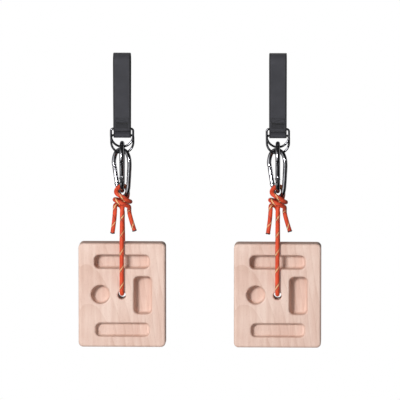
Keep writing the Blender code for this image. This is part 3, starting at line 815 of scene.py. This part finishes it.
def metalMaterial(name, clean, stained, roughness):
    v = metalValues
    material, tree, shader = newMaterial(name, Metallic=1.0)
    spot = objectSpot(tree)
    haze = noise(tree, spot, scale=160.0, detail=5.0)
    rubs = noise(tree, spot, scale=1400.0, detail=3.0, Distortion=2.0)
    worn = spread(tree, haze, 0.3, 0.75, roughness, roughness + v["wear"])
    tree.links.new(worn, shader.inputs["Roughness"])
    colour = ramp(tree, haze, (0.35, v[stained]), (0.6, v[clean]))
    coat(tree, shader, colour, rubs, strength=0.03, distance=0.00005)
    return material


darkChrome = metalMaterial("dark chrome", "ring", "ringStain", roughness=0.12)
steel = metalMaterial("polished steel", "steel", "steelStain", roughness=0.10)
springWire = metalMaterial("spring wire", "spring", "ringStain", roughness=0.28)


# D-rings

ringValues = {
    "wire": 0.0038,
    "width": 0.042,
    "height": 0.0348,
    "corner": 0.004,
    "sides": 28,
    "bend": 4,               # degrees of arc between points
}


def ringLine(hinge):
    v = ringValues
    wire = v["wire"] / 2
    reach = v["width"] / 2 - wire
    straight = reach - v["corner"]
    bowl = reach - (v["height"] - v["wire"])
    arcs = [(straight, -v["corner"], v["corner"], 90, 0), (0.0, bowl, reach, 0, -180),
            (-straight, -v["corner"], v["corner"], 180, 90)]
    points = []
    for x, z, radius, begin, finish in arcs:
        steps = round(abs(finish - begin) / v["bend"])
        for step in range(steps + 1):
            turn = math.radians(begin + (finish - begin) * step / steps)
            points.append(hinge + Vector((x + radius * math.cos(turn), 0,
                                          z + radius * math.sin(turn))))
    return points


def makeRing(prefix, which):
    node = f"{prefix}{which}_d_ring"
    low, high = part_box(node)
    wire = ringValues["wire"] / 2
    hinge = Vector((unitX(prefix), (low.y + high.y) / 2, high.z - wire))
    ring = sweep(f"{prefix}{which}_chrome_ring", ringLine(hinge), wire, ringValues["sides"],
                 closed=True)
    dress(ring, darkChrome)
    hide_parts(node)
    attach(ring, f"{prefix}{which}_ring")


for prefix in units:
    makeRing(prefix, "front")
    makeRing(prefix, "rear")
print("rings formed")


# Snap carabiners, in their own plane: X towards the spine, origin at the top of the bow

clipValues = {
    "bar": 0.0076,
    "height": 0.090,
    "width": 0.0505,
    "tilt": math.radians(14),
    "opening": 0.037,
    "noseDrop": 0.030,
    "noseReach": 0.0205,
    "noseGap": 0.0006,
    "heelGap": 0.0004,
    "pivotHeight": 0.006,
    "straightRun": 0.006,
    "break": 0.0007,                       # bevel on the bar's ends and the gate's top
    "tongue": (0.0046, 0.003, 0.005),      # width, thickness, length
    "tang": (0.004, 0.003),                # width, thickness
    "play": 0.0003,
    "noseSlot": 0.0056,
    "heelSlot": 0.0053,
    "rivet": 0.002,
    "rivetHead": (0.0038, 0.0007),
    "pin": 0.0016,
    "pinLength": 0.0068,
    "pinFromTop": 0.0026,
    "notchPlay": 0.0004,
    "springSeat": 0.0045,
    "springBore": (0.0044, 0.0109),        # width, depth
    "sides": 36,
    "smoothSteps": 8,                      # points of the curve from one key to the next
    "holeSides": 32,
    "fineSides": 24,                       # of the spring's bore, the rivet and the pin's hole
    "root": 0.002,                         # how far tongue and tang reach into the bar
    "sharpFrom": 32,                       # degrees
    "turn": {"front_": math.radians(90), "rear_": math.radians(-49)},
    "shift": {"front_": 0.0, "rear_": -0.001},
    "lift": 0.0060,                        # from the ring's lowest line up to the bow's line
}


def gateLine():
    v = clipValues
    along = Vector((math.sin(v["tilt"]), 0, -math.cos(v["tilt"])))
    nose = Vector((-v["noseReach"], 0, -v["noseDrop"]))
    heel = nose + along * v["opening"]
    pivot = heel - along * (v["heelGap"] + v["pivotHeight"])
    return nose, heel, pivot, along


def bodyLine():
    v = clipValues
    spine = (v["width"] - v["bar"]) / 2
    drop = v["height"] - v["bar"]
    nose, heel, pivot, along = gateLine()
    # From the lowest point up the spine and over the bow, as shares of spine and drop
    shares = [(0.0, 1.0), (0.32, 0.982), (0.62, 0.922), (0.81, 0.815), (0.89, 0.667),
              (0.96, 0.460), (1.0, 0.300), (0.93, 0.164), (0.69, 0.063), (0.35, 0.015),
              (0.0, 0.0), (-0.36, 0.016), (-0.71, 0.070), (-0.94, 0.170)]
    keys = [heel, heel + along * v["straightRun"], Vector((0.54 * heel.x, 0, -0.958 * drop))]
    keys += [Vector((across * spine, 0, -down * drop)) for across, down in shares]
    keys += [nose - along * v["straightRun"], nose]
    line = through(keys, v["smoothSteps"])
    inside = [heel + along * v["break"]] + line[1:-1] + [nose - along * v["break"]]
    return [heel] + inside + [nose]


def gateFrame():
    nose, heel, pivot, along = gateLine()
    return Matrix.Translation(pivot) @ Matrix.Rotation(-clipValues["tilt"], 4, "Y")


def clipPlace(prefix, which):
    # Where the carabiner hangs in its ring, and how far it is turned
    v = clipValues
    low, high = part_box(f"{prefix}{which}d_ring")
    bottom = low.z + ringValues["wire"] / 2
    spot = Vector((unitX(prefix) + v["shift"][which], (low.y + high.y) / 2, bottom + v["lift"]))
    return Matrix.Translation(spot) @ Matrix.Rotation(v["turn"][which], 4, "Z")


def gateTop():
    v = clipValues
    return v["opening"] - v["heelGap"] - v["pivotHeight"] - v["noseGap"]


def makeBody(prefix, which, spot):
    v = clipValues
    name = f"{prefix}{which}snap_body"
    line = bodyLine()
    radii = [v["bar"] / 2] * len(line)
    radii[0] = radii[-1] = v["bar"] / 2 - v["break"]
    body = sweep(name, line, radii, v["sides"])
    top = gateTop() + v["noseGap"]
    pin = gateTop() - v["pinFromTop"]
    tongueWide, tongueThick, tongueLong = v["tongue"]
    tangWide, tangThick = v["tang"]
    root = v["root"]
    notch = v["pin"] / 2 + v["notchPlay"]
    cutters = [
        (block(name + "_tongue", (-tongueWide / 2, -tongueThick / 2, top - tongueLong),
               (tongueWide / 2, tongueThick / 2, top + root)), "UNION"),
        (block(name + "_tang", (-tangWide / 2, -tangThick / 2,
                                -v["pivotHeight"] - v["heelGap"] - root),
               (tangWide / 2, tangThick / 2, 0.0)), "UNION"),
        (crossPin(name + "_tang_top", tangWide / 2, tangThick, 0.0, v["holeSides"]), "UNION"),
        (block(name + "_notch", (-v["pin"] / 2 - v["play"], -tongueThick, pin - notch),
               (tongueWide, tongueThick, pin + notch)), "DIFFERENCE"),
        (crossPin(name + "_hole", v["rivet"] / 2 + v["play"], v["bar"], 0.0, v["holeSides"]),
         "DIFFERENCE"),
    ]
    for cutter, operation in cutters:
        moved(cutter, gateFrame())
        addBoolean(body, cutter, operation)
    plainMesh(body, [cutter for cutter, operation in cutters])
    return moved(dress(smooth(weld(body), v["sharpFrom"]), steel), spot)


def makeGate(prefix, which, spot):
    v = clipValues
    name = f"{prefix}{which}snap_gate"
    radius, heel, top = v["bar"] / 2, -v["pivotHeight"], gateTop()
    rim = v["break"]
    shrink = 0.002   # how much the heel's end is rounded off
    profile = [(0, top), (radius - rim, top)]
    profile += [(radius - rim * (1 - math.sin(a)), top - rim * (1 - math.cos(a)))
                for a in (math.radians(d) for d in (22, 45, 67, 90))]
    profile += [(radius - shrink * (1 - math.cos(a)), heel + 1.15 * shrink * (1 - math.sin(a)))
                for a in (math.radians(d) for d in range(0, 91, 15))]
    profile.append((0, heel))
    gate = turned(name, profile, v["sides"])
    slot = v["tongue"][1] / 2 + v["play"]
    wide = v["bar"]
    bore, depth = v["springBore"]
    holes = [
        block(name + "_nose_slot", (-wide, -slot, top - v["noseSlot"]), (wide, slot, top + wide)),
        block(name + "_heel_slot", (-wide, -slot, heel - wide), (wide, slot, v["heelSlot"])),
        turned(name + "_bore", [(0, v["springSeat"] + depth), (bore / 2, v["springSeat"] + depth),
                                (bore / 2, v["springSeat"]), (0, v["springSeat"])],
               v["fineSides"]),
        crossPin(name + "_rivet_hole", v["rivet"] / 2 + v["play"], 2 * wide, 0.0, v["holeSides"]),
        crossPin(name + "_pin_hole", v["pin"] / 2 + v["play"], 2 * wide, top - v["pinFromTop"],
                 v["fineSides"]),
    ]
    for hole in holes:
        addBoolean(gate, hole, "DIFFERENCE")
    plainMesh(gate, holes)
    return moved(dress(smooth(weld(gate), v["sharpFrom"]), steel), spot @ gateFrame())


def makeRivet(prefix, which, spot):
    v = clipValues
    head, tall = v["rivetHead"]
    seat = v["bar"] / 2 + v["play"]
    half = [(0, seat + tall)]   # a domed head on a low straight rim
    half += [(head / 2 * math.sin(a), seat + tall * (0.35 + 0.65 * math.cos(a)))
             for a in (math.radians(d) for d in (15, 30, 45, 60, 75, 90))]
    half += [(head / 2, seat), (v["rivet"] / 2, seat)]
    profile = half + [(radius, -height) for radius, height in reversed(half)]
    rivet = dress(turned(f"{prefix}{which}snap_rivet", profile, v["fineSides"]), steel)
    return moved(rivet, spot @ gateFrame() @ lying)


def makePin(prefix, which, spot):
    v = clipValues
    radius, half = v["pin"] / 2, v["pinLength"] / 2
    edge = 0.0002   # bevel
    profile = [(0, half), (radius - edge, half), (radius, half - edge), (radius, edge - half),
               (radius - edge, -half), (0, -half)]
    pin = dress(turned(f"{prefix}{which}snap_pin", profile, sides=20), steel)
    turn = Matrix.Translation((0, 0, gateTop() - v["pinFromTop"])) @ lying
    return moved(pin, spot @ gateFrame() @ turn)


for prefix in units:
    for which in ("front_", "rear_"):
        spot = clipPlace(prefix, which)
        pieces = [
            (makeBody(prefix, which, spot), "carabiner_body", "carabiner"),
            (makeGate(prefix, which, spot), "carabiner_gate", "gate"),
            (makeRivet(prefix, which, spot), "gate_rivet", "gate"),
            (makePin(prefix, which, spot), "latch_pin", "gate"),
        ]
        for piece, node, body in pieces:
            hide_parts(prefix + which + node)
            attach(piece, prefix + which + body)
        dress(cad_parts[prefix + which + "gate_spring"], springWire)
print("carabiners forged")


# Beech boards

boardValues = {
    "corner": 0.008,
    "roundover": 0.004,
    "hole": 0.0138,
    "holeMouth": 0.003,
    "lip": 0.003,
    "fillet": 0.005,
    "pocketCorner": 0.0085,
    # centre x and z from the board's centre, width, height, depth
    "pockets": {
        "four_finger": (0.0, 0.058, 0.095, 0.0235, 0.022),
        "shallow": (0.001, -0.060, 0.0925, 0.023, 0.014),
        "upright": (0.036, 0.0, 0.031, 0.065, 0.024),
    },
    "monoPocket": (-0.037, 0.001, 0.032, 0.020),
    "lipSteps": 7,
    "perCorner": 10,
    "cornerSteps": 10,
    "roundoverSteps": 7,
    "monoPoints": 64,
    "holePoints": 48,
}

woodValues = {
    "light": linear(228, 200, 187),
    "middle": linear(219, 187, 172),
    "deep": linear(199, 160, 142),
    "fleck": linear(178, 130, 104),
    "pale": linear(240, 220, 207),
    # darker colour of end grain, which also paints shade on faces that point up or down
    "endGrainAndShade": linear(150, 108, 84),
    "pith": (0.055, -0.075, 0.0),    # how far the tree's middle lies from the board's middle
    "lean": math.radians(7),
    "ringScale": 34.0,
    "longGrain": (1.0, 1.0, 0.06),   # how much the fibres, and the flecks, are drawn out along Z
    "longFleck": (1.0, 1.0, 0.22),
}


def woodMaterial(prefix, centre):
    v = woodValues
    material, tree, shader = newMaterial(prefix + "beech", Roughness=0.56)
    own = mapped(tree, objectSpot(tree), Location=-centre)
    trunk = mapped(tree, own, Location=Vector(v["pith"]),
                   Rotation=(v["lean"], v["lean"] * 0.4, 0.0))
    rings = addNode(tree, "ShaderNodeTexWave",
                    {"Vector": trunk, "Scale": v["ringScale"], "Distortion": 2.2, "Detail": 2.0,
                     "Detail Scale": 0.35, "Detail Roughness": 0.5},
                    wave_type="RINGS", rings_direction="Z", wave_profile="SAW").outputs["Fac"]
    longGrain = mapped(tree, own, Scale=v["longGrain"])
    fibres = noise(tree, longGrain, scale=900.0, detail=5.0, Roughness=0.6)
    streaks = noise(tree, longGrain, scale=130.0, detail=3.0)
    broad = noise(tree, own, scale=14.0, detail=2.0)
    flecks = addNode(tree, "ShaderNodeTexVoronoi",
                     {"Vector": mapped(tree, own, Scale=v["longFleck"]), "Scale": 700.0,
                      "Randomness": 1.0}).outputs["Distance"]
    colour = ramp(tree, rings, (0.0, v["light"]), (0.7, v["middle"]), (0.97, v["deep"]))
    layers = (
        (0.45, streaks, (0.3, v["deep"]), (0.5, v["middle"]), (0.7, v["pale"])),
        (0.3, broad, (0.35, v["deep"]), (0.65, v["pale"])),
        (0.22, fibres, (0.35, v["deep"]), (0.65, v["light"])),
    )
    for share, pattern, *stops in layers:
        colour = mixColour(tree, share, colour, ramp(tree, pattern, *stops))
    colour = mixColour(tree, spread(tree, flecks, 0.10, 0.22, 0.42, 0.0), colour, v["fleck"])
    # Faces across the grain drink more of the oil and are darker; the same darkening also stands in
    # for painted shade on the board's top and bottom and on the pockets' upper and lower walls
    normal = addNode(tree, "ShaderNodeSeparateXYZ",
                     {0: addNode(tree, "ShaderNodeTexCoord").outputs["Normal"]})
    across = spread(tree, maths(tree, "ABSOLUTE", normal.outputs["Z"]), 0.45, 0.95, 0.0, 0.15)
    colour = mixColour(tree, across, colour, v["endGrainAndShade"])
    relief = maths(tree, "ADD", fibres, maths(tree, "MULTIPLY", flecks, 0.5))
    coat(tree, shader, colour, relief, strength=0.18, distance=0.0002)
    return material


def roundedOutline(width, height, corner, outset):
    count = boardValues["perCorner"]
    across, up = width / 2 - corner, height / 2 - corner
    points = []
    corners = ((across, up, 0), (-across, up, 90), (-across, -up, 180), (across, -up, 270))
    for x, z, start in corners:
        for step in range(count):
            angle = math.radians(start + 90 * step / (count - 1))
            points.append((x + (corner + outset) * math.cos(angle),
                           z + (corner + outset) * math.sin(angle)))
    return points


def circleOutline(radius, count):
    return [(radius * math.cos(math.tau * k / count), radius * math.sin(math.tau * k / count))
            for k in range(count)]


def loft(name, rings):
    # A closed solid through rings of (place along Y, outline in x and z)
    shape = bmesh.new()
    rows = [[shape.verts.new((x, y, z)) for x, z in outline] for y, outline in rings]
    for near, far in zip(rows, rows[1:]):
        for a, b, c, d in zip(near, near[1:] + near[:1], far[1:] + far[:1], far):
            shape.faces.new((a, b, c, d))
    shape.faces.new(rows[0])
    shape.faces.new(rows[-1])
    return place(name, meshFrom(shape, name))


def quarterTurn():
    steps = boardValues["lipSteps"]
    return [math.pi / 2 * step / steps for step in range(steps + 1)]


def mouth(lip):
    # (depth, outset) of an edge that rolls over into a face, and the clear way out of it
    return [(-2 * lip, lip)] + [(lip * (1 - math.cos(a)), lip * (1 - math.sin(a)))
                                for a in quarterTurn()]


def pocketProfile(depth):
    fillet = boardValues["fillet"]
    return mouth(boardValues["lip"]) + [
        (depth - fillet * (1 - math.sin(a)), -fillet * (1 - math.cos(a))) for a in quarterTurn()]


def makeBoard(prefix):
    v = boardValues
    node = prefix + "board"
    low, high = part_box(node)
    centre, size = (low + high) / 2, high - low
    name = prefix + "hold_block"
    shape = bmesh.new()
    bmesh.ops.create_cube(shape, size=1.0)
    bmesh.ops.scale(shape, vec=size, verts=shape.verts)
    corners = [edge for edge in shape.edges
               if abs(edge.verts[0].co.y - edge.verts[1].co.y) > size.y / 2]
    bmesh.ops.bevel(shape, geom=corners, offset=v["corner"], offset_type="OFFSET",
                    segments=v["cornerSteps"], profile=0.5, affect="EDGES")
    board = place(name, meshFrom(shape, name))
    rim = board.modifiers.new("roundover", "BEVEL")
    rim.width = v["roundover"]
    rim.segments = v["roundoverSteps"]
    rim.limit_method = "ANGLE"
    rim.angle_limit = math.radians(40)
    face = -size.y / 2
    cutters = []
    for label, (x, z, width, height, depth) in v["pockets"].items():
        rings = [(face + down, roundedOutline(width, height, v["pocketCorner"], outset))
                 for down, outset in pocketProfile(depth)]
        cutters.append(moved(loft(f"{name}_{label}", rings), Matrix.Translation((x, 0, z))))
    x, z, wide, depth = v["monoPocket"]
    rings = [(face + down, circleOutline(wide / 2 + outset, v["monoPoints"]))
             for down, outset in pocketProfile(depth)]
    cutters.append(moved(loft(name + "_mono", rings), Matrix.Translation((x, 0, z))))
    front = [(face + down, circleOutline(v["hole"] / 2 + outset, v["holePoints"]))
             for down, outset in mouth(v["holeMouth"])]
    cutters.append(loft(name + "_hole", front + [(-y, ring) for y, ring in reversed(front)]))
    for cutter in cutters:
        addBoolean(board, cutter, "DIFFERENCE")
    even = board.modifiers.new("even shading", "WEIGHTED_NORMAL")
    even.mode = "FACE_AREA"
    even.weight = 80
    board.data.shade_smooth()
    plainMesh(board, cutters)
    dress(moved(board, Matrix.Translation(centre)), woodMaterial(prefix, centre))
    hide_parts(node)
    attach(board, prefix + "board")


for prefix in units:
    makeBoard(prefix)
print("boards milled")


# Studio

studioValues = {
    "floorDrop": 0.12,
    "floorSize": 40.0,
    "ambientFrom": (-0.38, -0.46, 0.80),   # the soft light's own direction
    "ambientSpread": (0.3, 0.95),          # cosines to it where the light begins and is full
    "ambient": (0.0, 0.56),                # its strength at these two
    "key": {"azimuth": -22.0, "elevation": 13.0, "distance": 5.0, "size": 1.1, "power": 197.0},
    # Mirrored panels: turn from the back over the left and front to the back, and brightness
    "panels": ((0.00, 0.20), (0.27, 0.13), (0.31, 1.15), (0.42, 1.15), (0.47, 0.34),
               (0.545, 0.02), (0.745, 0.02), (0.79, 0.38), (1.00, 0.30)),
    "panelEnds": (0.3, 0.6),               # heights between which they fade
    "panelLevels": (1.0, 0.05),            # their level at these two
}
white = (1.0, 1.0, 1.0, 1.0)


def rays(tree):
    # Whether a ray is seen, straight or through glass, and whether it is mirrored
    path = addNode(tree, "ShaderNodeLightPath")
    seen = maths(tree, "MAXIMUM", path.outputs["Is Camera Ray"],
                 path.outputs["Is Transmission Ray"])
    return seen, path.outputs["Is Glossy Ray"]


def makeFloor():
    bpy.ops.mesh.primitive_grid_add(x_subdivisions=2, y_subdivisions=2,
                                    size=studioValues["floorSize"])
    floor = bpy.context.object
    floor.name = "floor"
    floor.data.transform(Matrix.Translation((0, 0, cadBox[0].z - studioValues["floorDrop"])))
    material, tree, shader = newMaterial("pale floor", Roughness=0.9,
                                         Base_Color=(0.86, 0.86, 0.86, 1.0))
    # Seen, it is as white as the backdrop; mirrored, it gives way to the studio's panels
    seen, mirrored = rays(tree)
    glow = addNode(tree, "ShaderNodeEmission", {"Color": white, "Strength": 1.0})
    clear = addNode(tree, "ShaderNodeBsdfTransparent")
    look = mixShader(tree, mirrored, shader.outputs[0], clear.outputs[0])
    look = mixShader(tree, seen, look, glow.outputs[0])
    tree.links.new(look, tree.nodes["Material Output"].inputs["Surface"])
    dress(floor, material)


def makeWorld():
    v = studioValues
    world = bpy.data.worlds.new("studio")
    scene.world = world
    world.use_nodes = True
    tree = world.node_tree
    tree.nodes.clear()
    seen, mirrored = rays(tree)
    around = addNode(tree, "ShaderNodeTexCoord").outputs["Generated"]
    split = addNode(tree, "ShaderNodeSeparateXYZ", {0: around})
    turn = maths(tree, "ARCTAN2", split.outputs["X"],
                 maths(tree, "MULTIPLY", split.outputs["Y"], -1.0))
    turn = maths(tree, "ADD", maths(tree, "MULTIPLY", turn, 1 / math.tau), 0.5)
    panels = ramp(tree, turn, *((spot, (level,) * 3) for spot, level in v["panels"]))
    height = maths(tree, "ABSOLUTE", split.outputs["Z"])
    facing = addNode(tree, "ShaderNodeVectorMath", {0: around, 1: v["ambientFrom"]},
                     operation="DOT_PRODUCT").outputs["Value"]
    lights = (
        (white, spread(tree, facing, *v["ambientSpread"], *v["ambient"])),
        (panels, spread(tree, height, *v["panelEnds"], *v["panelLevels"])),
        (white, 1.0),
    )
    ambient, studio, backdrop = (
        addNode(tree, "ShaderNodeBackground", {"Color": colour, "Strength": strength}).outputs[0]
        for colour, strength in lights)
    look = mixShader(tree, seen, mixShader(tree, mirrored, ambient, studio), backdrop)
    addNode(tree, "ShaderNodeOutputWorld", {"Surface": look})


def makeKey():
    v = studioValues["key"]
    data = bpy.data.lights.new("key", "AREA")
    data.shape = "DISK"
    data.size = v["size"]
    data.energy = v["power"]
    aimed("key", data, v)


makeFloor()
makeWorld()
makeKey()
scene.view_settings.view_transform = "Standard"
print("studio lit")
